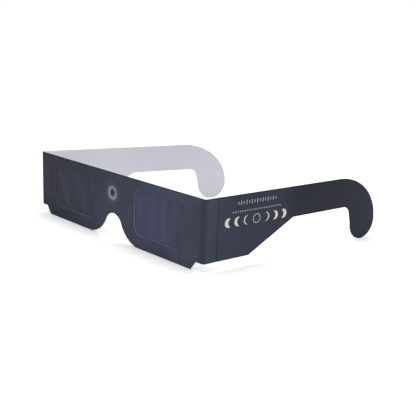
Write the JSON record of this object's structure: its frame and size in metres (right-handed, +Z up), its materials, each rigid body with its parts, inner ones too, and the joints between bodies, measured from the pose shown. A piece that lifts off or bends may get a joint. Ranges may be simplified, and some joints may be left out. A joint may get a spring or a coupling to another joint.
{
  "type": "eclipse glasses",
  "caption": "Folding card eclipse glasses with a folded-up inner flap, trapped solar filter windows, a nose arch and hooked temples.",
  "frame": {"origin": "the middle of the bridge, on the outer face of the front", "axes": "+X towards the wearer's left temple, +Y back along the temples towards the ears, +Z up"},
  "size_m": [0.1579, 0.127, 0.0377],
  "materials": {
    "printed_card": "satin",
    "solar_film": "gloss",
    "dry_glue": "satin"
  },
  "bodies": {
    "front": {"front_panel": "printed_card", "inner_flap": "printed_card", "left_bottom_fold": "printed_card", "right_bottom_fold": "printed_card", "left_filter": "solar_film", "right_filter": "solar_film", "top_glue_line": "dry_glue", "bridge_glue_patch": "dry_glue", "left_glue_line": "dry_glue", "right_glue_line": "dry_glue", "left_corner_crease": "printed_card", "right_corner_crease": "printed_card"},
    "left_strip": {"left_corner_strip": "printed_card", "left_temple_crease": "printed_card"},
    "right_strip": {"right_corner_strip": "printed_card", "right_temple_crease": "printed_card"},
    "left_arm": {"left_temple": "printed_card"},
    "right_arm": {"right_temple": "printed_card"}
  },
  "joints": [
    {"name": "left_front_fold", "type": "hinge", "parent": "front", "child": "left_strip", "pos_m": [0.0716, 0.0012, 0], "axis": [0, 0, 1], "range_deg": [-84, 92.1], "deforming": ["left_corner_crease"]},
    {"name": "right_front_fold", "type": "hinge", "parent": "front", "child": "right_strip", "pos_m": [-0.0716, 0.0012, 0], "axis": [0, 0, -1], "range_deg": [-107.5, 72.3], "deforming": ["right_corner_crease"]},
    {"name": "left_temple_fold", "type": "hinge", "parent": "left_strip", "child": "left_arm", "pos_m": [0.0735, 0.00825, 0], "axis": [0, 0, 1], "range_deg": [-90, 0], "deforming": ["left_temple_crease"]},
    {"name": "right_temple_fold", "type": "hinge", "parent": "right_strip", "child": "right_arm", "pos_m": [-0.07055, 0.00842, 0], "axis": [0, 0, -1], "range_deg": [-90, 0], "deforming": ["right_temple_crease"]}
  ]
}
